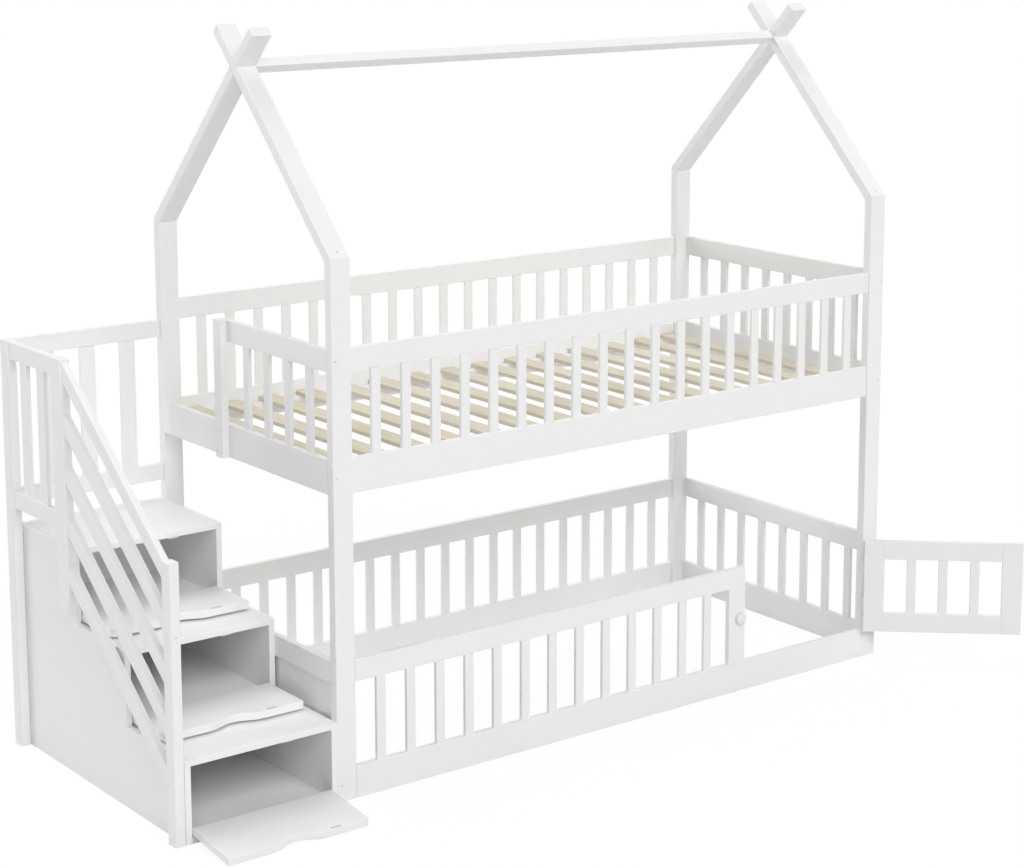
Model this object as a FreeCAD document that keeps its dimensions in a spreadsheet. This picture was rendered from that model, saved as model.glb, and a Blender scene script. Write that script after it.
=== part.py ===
import FreeCAD, Part
import Sketcher
import os
import re

# House bunk bed with box stairs.
# The long side runs along X with the stairs at the low end, the front is towards low Y, the floor is Z zero.
# Inside the sheet's rules x and y count from the outer front left corner of the bed frame.

os.makedirs("parts", exist_ok=True)
doc = FreeCAD.newDocument("house_bunk_bed")
sheet = doc.addObject("Spreadsheet::Sheet", "dims")

sizes = {
    # distance from the bed's front left corner to the reference point under the whole part
    "origin_along": 954.3,
    "origin_across": 308.0,
    # bed frame
    "bed_length": 2105,
    "bed_width": 980,
    "post_face": 63,
    "post_depth": 31,
    "bend_height": 1532,
    "roof_angle": 45.8,
    "rafter_overhang": 127,
    "ridge_side": 31,
    "edge_round": 2,
    "frame_round": 3,
    # rails, spindles and slats
    "rail_thickness": 18,
    "rail_inset": 6,
    "upper_rail_base": 877,
    "upper_rail_height": 99,
    "guard_rail_base": 1219,
    "guard_rail_height": 64,
    "lower_rail_height": 95,
    "fence_rail_base": 340,
    "fence_rail_height": 64,
    "spindle_width": 30,
    "spindle_thickness": 12,
    "side_spindle_count": 19,
    "end_spindle_count": 8,
    "entry_spindle_count": 4,
    "fence_spindle_count": 13,
    "infill_thickness": 8,
    "entry_post_near": 556,
    "entry_post_width": 43,
    "entry_post_thickness": 22,
    "slat_count": 15,
    "slat_width": 65,
    "slat_thickness": 13,
    "slat_lift": 64,
    "slat_margin": 3,
    "slat_clearance": 2,
    "ledger_width": 25,
    "ledger_height": 30,
    # gate, hinges and turn button
    "gate_opening": 520,
    "fence_stile_width": 67,
    "gate_hinge_gap": 4,
    "gate_free_gap": 4,
    "gate_floor_gap": 2,
    "gate_stile_width": 66,
    "gate_rail_height": 62,
    "gate_spindle_count": 3,
    "gate_open_angle": 138,
    "hinge_setout": 5,
    "hinge_low": 153,
    "hinge_high": 288,
    "hinge_height": 56,
    "hinge_leaf": 1.6,
    "hinge_leaf_width": 16,
    "knuckle_radius": 4,
    "knuckle_gap": 0.5,
    "hinge_pin_radius": 1.5,
    "pin_clearance": 0.05,
    "latch_height": 225,
    "latch_inset": 22,
    "latch_radius": 20,
    "latch_throw": 15,
    "latch_thickness": 12,
    "latch_round": 4,
    "latch_gap": 1,
    "screw_radius": 2.5,
    "screw_head_radius": 5,
    "screw_head_height": 2.5,
    "screw_seat": 12,
    "screw_gap": 0.3,
    # stairs
    "stair_opening": 440,
    "panel_thickness": 18,
    "board_thickness": 18,
    "step_rise": 217.5,
    "first_run": 324,
    "second_run": 290,
    "stair_post_face": 32,
    "newel_depth": 45,
    "mid_post_near": 597,
    "mid_post_depth": 63,
    "mid_post_foot": 486,
    "stair_post_top": 1222,
    "stair_post_round": 6,
    "handrail_thickness": 20,
    "handrail_drop": 55,
    "handrail_low": 147,
    "handrail_pitch": 144.5,
    "handrail_count": 5,
    "handrail_angle": 38.3,
    "stair_rail_height": 52,
    "stair_rail_low": 728,
    "side_slat_width": 46,
    "side_slat_count": 2,
    "back_slat_width": 49,
    "back_slat_count": 3,
    # hinged flaps of the stair boxes
    "flap_thickness": 22,
    "flap_side_gap": 1.5,
    "flap_top_gap": 1,
    "flap_floor_gap": 1.5,
    "flap_pivot_inset": 3.5,
    "flap_pivot_lift": 9.2,
    "flap_heel_share": 0.45,
    "flap_corner_round": 6,
    "flap_edge_round": 1.5,
    "notch_width": 140,
    "notch_floor": 30,
    "notch_depth": 23,
    "notch_round": 60,
    "low_flap_angle": 96.9,
    "tread_flap_angle": 90,
    "flap_pin_radius": 2,
    "flap_pin_reach": 10,
    "pin_seat_clearance": 0.1,
    "pin_end_gap": 1,
    "catch_side": 93,
    "catch_length": 33,
    "catch_depth": 22,
    "catch_height": 11,
    "catch_gap": 1.5,
    # bolt heads
    "head_radius": 4.5,
    "head_height": 1.2,
    "bolt_inset": 12,
    "bolt_row_inset": 18,
    "rafter_bolt_rise": 20,
    "newel_bolt_inset": 34,
    "newel_bolt_height": 167,
    "newel_bolt_drop": 241,
    "newel_front_drop": 201,
    "mid_bolt_inset": 12,
    "mid_bolt_drop": 69,
}
for row, (word, number) in enumerate(sizes.items(), start=1):
    sheet.set(f"A{row}", word)
    sheet.set(f"B{row}", str(number))
    sheet.setAlias(f"B{row}", word)
doc.recompute()


def rule(text):
    """The text as an expression, with every size word looked up in the sheet."""
    return re.sub(r"[a-z]+(?:_[a-z]+)+", lambda found: "dims." + found.group(0), text)


def size(text):
    """The number that a rule comes to now."""
    return float(sheet.evalExpression(rule(text)))


def bind(thing, name, text):
    """Tie one property to a rule, unless the rule is plain zero."""
    if text != "0":
        thing.setExpression(name, rule(text))


# Where the bodies stand


def stand_fixed(body):
    """Fixed pieces are drawn from the bed's front left corner."""
    bind(body, "Placement.Base.x", "-origin_along")
    bind(body, "Placement.Base.y", "-origin_across")


def stand_gate(body):
    """Gate pieces are drawn from the hinge line, +X towards the free stile, and swung open."""
    upright = FreeCAD.Vector(0, 0, 1)
    body.Placement = FreeCAD.Placement(FreeCAD.Vector(0, 0, 0), upright, size("gate_open_angle"))
    bind(body, "Placement.Base.x", "bed_length - post_face - gate_hinge_gap / 2 - origin_along")
    bind(body, "Placement.Base.y", "-hinge_setout - origin_across")
    bind(body, "Placement.Rotation.Angle", "gate_open_angle + 180")


def stand_latch(body):
    """The turn button is drawn from its screw."""
    bind(body, "Placement.Base.x", "bed_length - post_face - gate_opening - latch_inset - origin_along")
    bind(body, "Placement.Base.y", "-origin_across")
    bind(body, "Placement.Base.z", "latch_height")


def stand_flap(step_front, floor_top, angle):
    """Flaps are drawn upright from their pivot line and laid forward by the opening angle."""

    def stand(body):
        body.Placement = FreeCAD.Placement(FreeCAD.Vector(0, 0, 0), FreeCAD.Vector(1, 0, 0), size(angle))
        bind(body, "Placement.Base.x", "-panel_thickness - stair_opening + flap_side_gap - origin_along")
        bind(body, "Placement.Base.y", f"{step_front} + flap_pivot_inset - origin_across")
        bind(body, "Placement.Base.z", f"{floor_top} + flap_pivot_lift")
        bind(body, "Placement.Rotation.Angle", angle)

    return stand


# Ways of making a piece


def new_body(label, stand=stand_fixed):
    body = doc.addObject("PartDesign::Body", label)
    body.Label = label
    body.AllowCompound = True
    stand(body)
    return body


def origin_feature(body, role):
    """One of the body's own planes or axes."""
    for feature in body.Origin.OriginFeatures:
        if feature.Role == role:
            return feature


def new_sketch(body, role, corner):
    """Sketch on one of the body's planes, moved to the x, y, z corner given."""
    along_x, along_y, along_z = corner
    local = {
        "XY_Plane": (along_x, along_y, along_z),
        "XZ_Plane": (along_x, along_z, "0" if along_y == "0" else f"-({along_y})"),
        "YZ_Plane": (along_y, along_z, along_x),
    }[role]
    sketch = body.newObject("Sketcher::SketchObject", body.Name + "_sketch")
    sketch.AttachmentSupport = [(origin_feature(body, role), "")]
    sketch.MapMode = "FlatFace"
    for axis, text in zip("xyz", local):
        bind(sketch, f"AttachmentOffset.Base.{axis}", text)
    return sketch


def tie(sketch, constraint, text):
    """Add a dimension and tie it to its rule."""
    number = sketch.addConstraint(constraint)
    sketch.setExpression(f"Constraints[{number}]", rule(text))


def draw_outline(sketch, corners):
    """Closed outline of straight lines, each corner dimensioned from the sketch's origin."""
    spots = [FreeCAD.Vector(size(across), size(up), 0) for across, up in corners]
    count = len(spots)
    for number in range(count):
        sketch.addGeometry(Part.LineSegment(spots[number], spots[(number + 1) % count]), False)
    for number in range(count):
        sketch.addConstraint(Sketcher.Constraint("Coincident", number, 2, (number + 1) % count, 1))
    for number, (across, up) in enumerate(corners):
        for kind, text, axis in (("DistanceX", across, -2), ("DistanceY", up, -1)):
            if text == "0":
                sketch.addConstraint(Sketcher.Constraint("PointOnObject", number, 1, axis))
            else:
                tie(sketch, Sketcher.Constraint(kind, -1, 1, number, 1, size(text)), text)


def draw_rounded_rectangle(sketch, across, up, corner):
    """Rectangle from the sketch's origin with four equal corner arcs."""
    wide, tall, radius = size(across), size(up), size(corner)
    ends = [
        ((radius, 0), (wide - radius, 0)),
        ((wide, radius), (wide, tall - radius)),
        ((wide - radius, tall), (radius, tall)),
        ((0, tall - radius), (0, radius)),
    ]
    middles = [
        (wide - radius, radius),
        (wide - radius, tall - radius),
        (radius, tall - radius),
        (radius, radius),
    ]
    for start, end in ends:
        sketch.addGeometry(Part.LineSegment(FreeCAD.Vector(*start, 0), FreeCAD.Vector(*end, 0)), False)
    quarter = FreeCAD.Units.Quantity("90 deg").getValueAs("rad").Value
    for number, middle in enumerate(middles):
        circle = Part.Circle(FreeCAD.Vector(*middle, 0), FreeCAD.Vector(0, 0, 1), radius)
        sketch.addGeometry(Part.ArcOfCircle(circle, quarter * (number - 1), quarter * number), False)
    for side in range(4):
        arc = side + 4
        sketch.addConstraint(Sketcher.Constraint("Tangent", side, 2, arc, 1))
        sketch.addConstraint(Sketcher.Constraint("Tangent", arc, 2, (side + 1) % 4, 1))
    for side, kind in enumerate(("Horizontal", "Vertical", "Horizontal", "Vertical")):
        sketch.addConstraint(Sketcher.Constraint(kind, side))
    for arc in (5, 6, 7):
        sketch.addConstraint(Sketcher.Constraint("Equal", 4, arc))
    sketch.addConstraint(Sketcher.Constraint("PointOnObject", 0, 1, -1))
    sketch.addConstraint(Sketcher.Constraint("PointOnObject", 3, 1, -2))
    tie(sketch, Sketcher.Constraint("Radius", 4, radius), corner)
    tie(sketch, Sketcher.Constraint("DistanceX", -1, 1, 1, 1, wide), across)
    tie(sketch, Sketcher.Constraint("DistanceY", -1, 1, 2, 1, tall), up)


def draw_circle(sketch, across, up, radius):
    """Circle with its centre dimensioned from the sketch's origin."""
    spot = FreeCAD.Vector(size(across), size(up), 0)
    number = sketch.addGeometry(Part.Circle(spot, FreeCAD.Vector(0, 0, 1), size(radius)), False)
    tie(sketch, Sketcher.Constraint("Radius", number, size(radius)), radius)
    for kind, text, axis in (("DistanceX", across, -2), ("DistanceY", up, -1)):
        if text == "0":
            sketch.addConstraint(Sketcher.Constraint("PointOnObject", number, 3, axis))
        else:
            tie(sketch, Sketcher.Constraint(kind, -1, 1, number, 3, size(text)), text)


def add_pad(body, sketch, length, backwards=False):
    pad = body.newObject("PartDesign::Pad", body.Name + "_pad")
    pad.Profile = sketch
    bind(pad, "Length", length)
    pad.Reversed = backwards
    body.Tip = pad
    return pad


def add_pocket(body, sketch, depth, forwards=False):
    """Cut the sketch into the piece, and see that it really took something away."""
    doc.recompute()
    before = body.Shape.Volume
    pocket = body.newObject("PartDesign::Pocket", body.Name + "_pocket")
    pocket.Profile = sketch
    bind(pocket, "Length", depth)
    pocket.Reversed = forwards
    body.Tip = pocket
    doc.recompute()
    if body.Shape.Volume >= before:
        raise RuntimeError(body.Label + ": the cut missed the piece")
    return pocket


def add_round(body, radius, wanted):
    """Round the edges of the last feature that the test picks out."""
    doc.recompute()
    base = body.Tip
    names = []
    for number, edge in enumerate(base.Shape.Edges, start=1):
        if wanted(edge):
            names.append(f"Edge{number}")
    rounding = body.newObject("PartDesign::Fillet", body.Name + "_round")
    rounding.Base = (base, names)
    bind(rounding, "Radius", radius)
    body.Tip = rounding
    return rounding


def runs_along(direction):
    """Test for straight edges that run along a direction."""

    def wanted(edge):
        if not isinstance(edge.Curve, Part.Line):
            return False
        return abs(edge.tangentAt(edge.FirstParameter).dot(direction)) > 1 - straight_share

    return wanted


straight_share = 0.001
length_way = FreeCAD.Vector(1, 0, 0)
depth_way = FreeCAD.Vector(0, 1, 0)


def add_row(body, feature, axis, reach, count):
    """Repeat a piece along one axis of the body."""
    row = body.newObject("PartDesign::LinearPattern", body.Name + "_row")
    row.Originals = [feature]
    row.Direction = (origin_feature(body, axis + "_Axis"), [""])
    bind(row, "Length", reach)
    bind(row, "Occurrences", count)
    body.Tip = row
    return row


section_planes = {"x": "YZ_Plane", "y": "XZ_Plane", "z": "XY_Plane"}


def bar(label, run, corner, section, length, edge="edge_round", row=None, stand=stand_fixed):
    """Straight bar with rounded long edges; run is its long axis, row repeats it as separate solids."""
    body = new_body(label, stand)
    sketch = new_sketch(body, section_planes[run], corner)
    draw_rounded_rectangle(sketch, section[0], section[1], edge)
    pad = add_pad(body, sketch, length, backwards=run == "y")
    if row:
        add_row(body, pad, *row)
    return body


def block(corner, lengths):
    """Plain block from its low corner."""
    box = doc.addObject("Part::Box", "block")
    stand_fixed(box)
    for axis, name, text, start in zip("xyz", ("Length", "Width", "Height"), lengths, corner):
        bind(box, name, text)
        if axis == "z":
            bind(box, "Placement.Base.z", start)
        else:
            home = {"x": "origin_along", "y": "origin_across"}[axis]
            bind(box, f"Placement.Base.{axis}", f"{start} - {home}")
    return box


def rod(axis, spot, radius, length):
    """Plain round rod along one axis from its low end."""
    cylinder = doc.addObject("Part::Cylinder", "rod")
    lean = {
        "x": FreeCAD.Rotation(FreeCAD.Vector(0, 1, 0), 90),
        "y": FreeCAD.Rotation(FreeCAD.Vector(1, 0, 0), -90),
        "z": FreeCAD.Rotation(),
    }[axis]
    cylinder.Placement = FreeCAD.Placement(FreeCAD.Vector(0, 0, 0), lean)
    bind(cylinder, "Radius", radius)
    bind(cylinder, "Height", length)
    bind(cylinder, "Placement.Base.x", f"{spot[0]} - origin_along")
    bind(cylinder, "Placement.Base.y", f"{spot[1]} - origin_across")
    bind(cylinder, "Placement.Base.z", spot[2])
    return cylinder


def group(label, pieces):
    """Separate like pieces under one name."""
    compound = doc.addObject("Part::Compound", label)
    compound.Label = label
    compound.Links = pieces
    return compound


def between(room, count, width):
    """Pitch of a number of bars with equal gaps between two ends."""
    return f"(({room} - {count} * {width}) / ({count} + 1) + {width})"


nodes = []

# Posts and rafters: four flat posts, each mitred to a rafter; the rafters are halved where they cross

mitre_drop = "(post_depth * tan((90 - roof_angle) / 2))"
far_post = "(bed_length - post_face)"
crossing_rise = f"({mitre_drop} + bed_width / 2 * tan(roof_angle))"
lap_half_height = "(post_depth / (2 * cos(roof_angle)))"
lap_half_width = "(post_depth / (2 * sin(roof_angle)))"


def frame_post(label, along, at_back):
    tall, short = "bend_height", f"bend_height - {mitre_drop}"
    outer, inner = ("post_depth", "0") if at_back else ("0", "post_depth")
    body = new_body(label)
    sketch = new_sketch(body, "YZ_Plane", (along, "bed_width - post_depth" if at_back else "0", "0"))
    draw_outline(sketch, [(outer, "0"), (inner, "0"), (inner, short), (outer, tall)])
    add_pad(body, sketch, "post_face")
    add_round(body, "frame_round", runs_along(FreeCAD.Vector(0, 0, 1)))
    return body


def rafter(label, along, at_back):
    tip_along = "(bed_width / 2 + rafter_overhang * cos(roof_angle))"
    tip_rise = f"({crossing_rise} + rafter_overhang * sin(roof_angle))"
    outline = [
        ("0", mitre_drop),
        (tip_along, tip_rise),
        (f"{tip_along} + post_depth * sin(roof_angle)", f"{tip_rise} - post_depth * cos(roof_angle)"),
        ("post_depth", "0"),
    ]
    lap = [
        ("bed_width / 2", crossing_rise),
        (f"bed_width / 2 + {lap_half_width}", f"{crossing_rise} - {lap_half_height}"),
        ("bed_width / 2", f"{crossing_rise} - 2 * {lap_half_height}"),
        (f"bed_width / 2 - {lap_half_width}", f"{crossing_rise} - {lap_half_height}"),
    ]
    if at_back:
        outline = [(f"bed_width - ({across})", up) for across, up in outline]
        lap = [(f"bed_width - ({across})", up) for across, up in lap]
    foot = f"bend_height - {mitre_drop}"
    body = new_body(label)
    sketch = new_sketch(body, "YZ_Plane", (along, "0", foot))
    draw_outline(sketch, outline)
    add_pad(body, sketch, "post_face")
    lean = size("roof_angle") * (-1 if at_back else 1)
    slope_way = FreeCAD.Rotation(length_way, lean).multVec(depth_way)
    add_round(body, "frame_round", runs_along(slope_way))
    lap_sketch = new_sketch(body, "YZ_Plane", (f"{along} + post_face / 2", "0", foot))
    draw_outline(lap_sketch, lap)
    add_pocket(body, lap_sketch, "post_face / 2", forwards=not at_back)
    return body


for side, along in (("left", "0"), ("right", far_post)):
    for face, at_back in (("front", False), ("back", True)):
        nodes.append(frame_post(f"{face}_{side}_post", along, at_back))
        nodes.append(rafter(f"{face}_{side}_rafter", along, at_back))

# Ridge bar: square bar on edge between the two rafter crossings

half_diagonal = "(ridge_side * sqrt(0.5))"
ridge_centre = f"(bend_height - {mitre_drop} + {crossing_rise} - {lap_half_height})"
ridge = new_body("ridge_bar")
ridge_sketch = new_sketch(
    ridge, "YZ_Plane", ("post_face", f"bed_width / 2 - {half_diagonal}", f"{ridge_centre} - {half_diagonal}")
)
draw_outline(
    ridge_sketch,
    [
        (half_diagonal, "0"),
        (f"2 * {half_diagonal}", half_diagonal),
        (half_diagonal, f"2 * {half_diagonal}"),
        ("0", half_diagonal),
    ],
)
add_pad(ridge, ridge_sketch, "bed_length - 2 * post_face")
add_round(ridge, "edge_round", runs_along(length_way))
nodes.append(ridge)

# Upper bunk: four deep rails, the front one set back a little from the posts, and the slats on two ledgers

side_room = "(bed_length - 2 * post_face)"
end_room = "(bed_width - 2 * post_depth)"
back_rail = "bed_width - rail_thickness"
upper_section = ("rail_thickness", "upper_rail_height")
for label, across in (("upper_front_rail", "rail_inset"), ("upper_back_rail", back_rail)):
    nodes.append(bar(label, "x", ("post_face", across, "upper_rail_base"), upper_section, side_room))
end_pair = ("X", "bed_length - rail_thickness", "2")
nodes.append(
    bar("upper_end_rails", "y", ("0", "post_depth", "upper_rail_base"), upper_section, end_room, row=end_pair)
)
slat_base = "(upper_rail_base + slat_lift - slat_thickness)"
slat_front = "(rail_inset + rail_thickness)"
slat_room = f"(bed_width - rail_thickness - {slat_front})"
nodes.append(
    bar(
        "slat_ledgers",
        "x",
        ("post_face", slat_front, f"{slat_base} - ledger_height"),
        ("ledger_width", "ledger_height"),
        side_room,
        row=("Y", f"{slat_room} - ledger_width", "2"),
    )
)
nodes.append(
    bar(
        "bed_slats",
        "y",
        ("post_face + slat_margin", f"{slat_front} + slat_clearance", slat_base),
        ("slat_width", "slat_thickness"),
        f"{slat_room} - 2 * slat_clearance",
        row=("X", f"{side_room} - 2 * slat_margin - slat_width", "slat_count"),
    )
)

# Guard above the upper bunk: top rails with flat spindles, open at the stair end behind a short post

upper_top = "(upper_rail_base + upper_rail_height)"
guard_section = ("rail_thickness", "guard_rail_height")
spindle_inset = "((rail_thickness - spindle_thickness) / 2)"
guard_room = f"(guard_rail_base - {upper_top})"
entry_end = "(entry_post_near + entry_post_width)"
for label, across in (("guard_front_rail", "rail_inset"), ("guard_back_rail", back_rail)):
    nodes.append(bar(label, "x", ("post_face", across, "guard_rail_base"), guard_section, side_room))
left_rail_length = f"{entry_end} - post_depth"
nodes.append(
    bar("guard_left_rail", "y", ("0", "post_depth", "guard_rail_base"), guard_section, left_rail_length)
)
nodes.append(
    bar(
        "guard_right_rail",
        "y",
        ("bed_length - rail_thickness", "post_depth", "guard_rail_base"),
        guard_section,
        end_room,
    )
)


def side_spindles(label, across, base, tall, room, count):
    """Row of flat spindles along the bed."""
    pitch = between(room, count, "spindle_width")
    return bar(
        label,
        "z",
        (f"post_face + {pitch} - spindle_width", f"{across} + {spindle_inset}", base),
        ("spindle_width", "spindle_thickness"),
        tall,
        row=("X", f"{pitch} * ({count} - 1)", count),
    )


def end_spindles(label, along, base, tall, room, count):
    """Row of flat spindles across one end of the bed."""
    pitch = between(room, count, "spindle_width")
    return bar(
        label,
        "z",
        (f"{along} + {spindle_inset}", f"post_depth + {pitch} - spindle_width", base),
        ("spindle_thickness", "spindle_width"),
        tall,
        row=("Y", f"{pitch} * ({count} - 1)", count),
    )


right_rail = "bed_length - rail_thickness"
for label, across in (("guard_front_spindles", "rail_inset"), ("guard_back_spindles", back_rail)):
    nodes.append(side_spindles(label, across, upper_top, guard_room, side_room, "side_spindle_count"))
left_room = "(entry_post_near - post_depth)"
nodes.append(
    end_spindles("guard_left_spindles", "0", upper_top, guard_room, left_room, "entry_spindle_count")
)
nodes.append(
    end_spindles("guard_right_spindles", right_rail, upper_top, guard_room, end_room, "end_spindle_count")
)
nodes.append(
    bar(
        "entry_guard_post",
        "z",
        ("-entry_post_thickness", "entry_post_near", "upper_rail_base"),
        ("entry_post_thickness", "entry_post_width"),
        "guard_rail_base + guard_rail_height - upper_rail_base",
    )
)

# Lower bunk: a floor bed inside four low rails with a fence, filled in next to the stairs

lower_section = ("rail_thickness", "lower_rail_height")
fence_section = ("rail_thickness", "fence_rail_height")
lower_top = "lower_rail_height"
fence_room = f"(fence_rail_base - {lower_top})"
fence_length = f"({side_room} - gate_opening - fence_stile_width)"
stile_end = "(bed_length - post_face - gate_opening)"
nodes.append(bar("lower_front_rail", "x", ("post_face", "0", "0"), lower_section, side_room))
nodes.append(bar("lower_back_rail", "x", ("post_face", back_rail, "0"), lower_section, side_room))
nodes.append(bar("lower_end_rails", "y", ("0", "post_depth", "0"), lower_section, end_room, row=end_pair))
nodes.append(bar("fence_front_rail", "x", ("post_face", "0", "fence_rail_base"), fence_section, fence_length))
nodes.append(
    bar("fence_back_rail", "x", ("post_face", back_rail, "fence_rail_base"), fence_section, side_room)
)
nodes.append(
    bar("fence_end_rails", "y", ("0", "post_depth", "fence_rail_base"), fence_section, end_room, row=end_pair)
)
nodes.append(
    side_spindles("fence_front_spindles", "0", lower_top, fence_room, fence_length, "fence_spindle_count")
)
nodes.append(
    side_spindles("fence_back_spindles", back_rail, lower_top, fence_room, side_room, "side_spindle_count")
)
nodes.append(
    end_spindles("fence_right_spindles", right_rail, lower_top, fence_room, end_room, "end_spindle_count")
)
nodes.append(
    bar(
        "left_infill_panel",
        "y",
        ("rail_thickness - infill_thickness", "post_depth", lower_top),
        ("infill_thickness", fence_room),
        end_room,
    )
)

# Fence end stile: bored for the turn button's screw

fence_stile = bar(
    "fence_end_stile",
    "z",
    (f"{stile_end} - fence_stile_width", "0", "lower_rail_height"),
    ("fence_stile_width", "rail_thickness"),
    "fence_rail_base + fence_rail_height - lower_rail_height",
)
screw_bore = new_sketch(fence_stile, "XZ_Plane", ("0", "0", "0"))
draw_circle(screw_bore, f"{stile_end} - latch_inset", "latch_height", "screw_radius + pin_seat_clearance")
add_pocket(fence_stile, screw_bore, "screw_seat + pin_end_gap")
nodes.append(fence_stile)

# Gate: two stiles, two rails and three spindles, hung on two butt hinges at the right front post

gate_width = "(gate_opening - gate_hinge_gap - gate_free_gap)"
gate_near = "(gate_hinge_gap / 2)"
gate_face = "(-hinge_setout - rail_thickness)"
gate_base = "(lower_rail_height + gate_floor_gap)"
gate_height = f"(fence_rail_base + fence_rail_height - {gate_base})"
gate_room = f"({gate_width} - 2 * gate_stile_width)"
gate_pitch = between(gate_room, "gate_spindle_count", "spindle_width")
nodes.append(
    bar(
        "gate_stiles",
        "z",
        (gate_near, gate_face, gate_base),
        ("gate_stile_width", "rail_thickness"),
        gate_height,
        row=("X", f"{gate_width} - gate_stile_width", "2"),
        stand=stand_gate,
    )
)
nodes.append(
    bar(
        "gate_rails",
        "x",
        (f"{gate_near} + gate_stile_width", gate_face, gate_base),
        ("rail_thickness", "gate_rail_height"),
        gate_room,
        row=("Z", f"{gate_height} - gate_rail_height", "2"),
        stand=stand_gate,
    )
)
nodes.append(
    bar(
        "gate_spindles",
        "z",
        (
            f"{gate_near} + gate_stile_width + {gate_pitch} - spindle_width",
            f"{gate_face} + {spindle_inset}",
            f"{gate_base} + gate_rail_height",
        ),
        ("spindle_width", "spindle_thickness"),
        f"{gate_height} - 2 * gate_rail_height",
        row=("X", f"{gate_pitch} * (gate_spindle_count - 1)", "gate_spindle_count"),
        stand=stand_gate,
    )
)

# Hinges: the gate's leaf carries the middle knuckle, the post's leaf the outer knuckles and the pin

knuckle_height = "(hinge_height / 3)"
leaf_reach = "(hinge_setout + hinge_leaf_width)"
leaf_start = "(gate_hinge_gap / 2 - hinge_leaf)"
hinge_bases = ("hinge_low", "hinge_high")


def leaf_plate(body, side, base, tall, reach_start):
    """Flat plate of a leaf; side is +1 behind the pivot line and -1 in front of it."""
    across = reach_start if side > 0 else f"-({leaf_reach})"
    sketch = new_sketch(body, "XY_Plane", (leaf_start, across, base))
    reach = f"{leaf_reach} - ({reach_start})"
    draw_outline(sketch, [("0", "0"), ("hinge_leaf", "0"), ("hinge_leaf", reach), ("0", reach)])
    return add_pad(body, sketch, tall)


def knuckle(body, base, tall, radius):
    """Round length of a knuckle or pin on the pivot line."""
    sketch = new_sketch(body, "XY_Plane", ("0", "0", base))
    draw_circle(sketch, "0", "0", radius)
    return add_pad(body, sketch, tall)


def gate_leaf(number, base):
    body = new_body(f"gate_leaf_{number}", stand_gate)
    middle = f"{base} + {knuckle_height} + knuckle_gap"
    middle_tall = f"{knuckle_height} - 2 * knuckle_gap"
    leaf_plate(body, -1, base, "hinge_height", "hinge_setout")
    leaf_plate(body, -1, middle, middle_tall, "0")
    knuckle(body, middle, middle_tall, "knuckle_radius")
    bore = new_sketch(body, "XY_Plane", ("0", "0", f"{base} + hinge_height"))
    draw_circle(bore, "0", "0", "hinge_pin_radius + pin_clearance")
    add_pocket(body, bore, "hinge_height")
    return body


def stand_hinge(body):
    """Post leaves are drawn from the hinge line."""
    bind(body, "Placement.Base.x", "bed_length - post_face - gate_hinge_gap / 2 - origin_along")
    bind(body, "Placement.Base.y", "-hinge_setout - origin_across")


def post_leaf(number, base):
    body = new_body(f"post_leaf_{number}", stand_hinge)
    leaf_plate(body, 1, base, "hinge_height", "hinge_setout")
    for start in (base, f"{base} + 2 * {knuckle_height}"):
        leaf_plate(body, 1, start, knuckle_height, "0")
        knuckle(body, start, knuckle_height, "knuckle_radius")
    knuckle(body, base, "hinge_height", "hinge_pin_radius")
    return body


nodes.append(group("gate_hinge_leaves", [gate_leaf(number, base) for number, base in enumerate(hinge_bases)]))
nodes.append(group("post_hinge_leaves", [post_leaf(number, base) for number, base in enumerate(hinge_bases)]))

# Turn button: a round knob on an off-centre screw, turned up clear of the gate

latch = new_body("latch_button", stand_latch)
latch_disc = new_sketch(latch, "XZ_Plane", ("0", "-latch_gap", "0"))
draw_circle(latch_disc, "0", "latch_throw", "latch_radius")
add_pad(latch, latch_disc, "latch_thickness")
add_round(latch, "latch_round", lambda edge: edge.CenterOfMass.y < -size("latch_gap + latch_thickness / 2"))
latch_bore = new_sketch(latch, "XZ_Plane", ("0", "-latch_gap - latch_thickness", "0"))
draw_circle(latch_bore, "0", "0", "screw_radius + pin_clearance")
add_pocket(latch, latch_bore, "latch_thickness")
nodes.append(latch)

# Stairs: two stepped side panels, four boards and a back make three boxes

stair_outer = "(2 * panel_thickness + stair_opening)"
stair_inner = "(panel_thickness + stair_opening)"
landing_front = "(first_run + second_run)"
board_starts = ("0", "0", "first_run", landing_front)
step_fronts = ("0", "first_run", landing_front)


def step_top(number):
    """Top of the board at the end of a number of rises."""
    return f"({number} * step_rise + board_thickness)"


pivot_spots = [
    (f"{front} + flap_pivot_inset", f"{step_top(number)} + flap_pivot_lift")
    for number, front in enumerate(step_fronts)
]
panel_outline = [
    ("0", "0"),
    ("bed_width", "0"),
    ("bed_width", step_top(3)),
    (landing_front, step_top(3)),
    (landing_front, step_top(2)),
    ("first_run", step_top(2)),
    ("first_run", step_top(1)),
    ("0", step_top(1)),
]


def side_panel(label, along, inner_face, inside_is_right):
    body = new_body(label)
    sketch = new_sketch(body, "YZ_Plane", (along, "0", "0"))
    draw_outline(sketch, panel_outline)
    add_pad(body, sketch, "panel_thickness")
    add_round(body, "edge_round", lambda edge: edge.CenterOfMass.z > size("edge_round"))
    bores = new_sketch(body, "YZ_Plane", (inner_face, "0", "0"))
    for across, up in pivot_spots:
        draw_circle(bores, across, up, "flap_pin_radius + pin_seat_clearance")
    add_pocket(body, bores, "flap_pin_reach + pin_end_gap", forwards=not inside_is_right)
    return body


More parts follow.
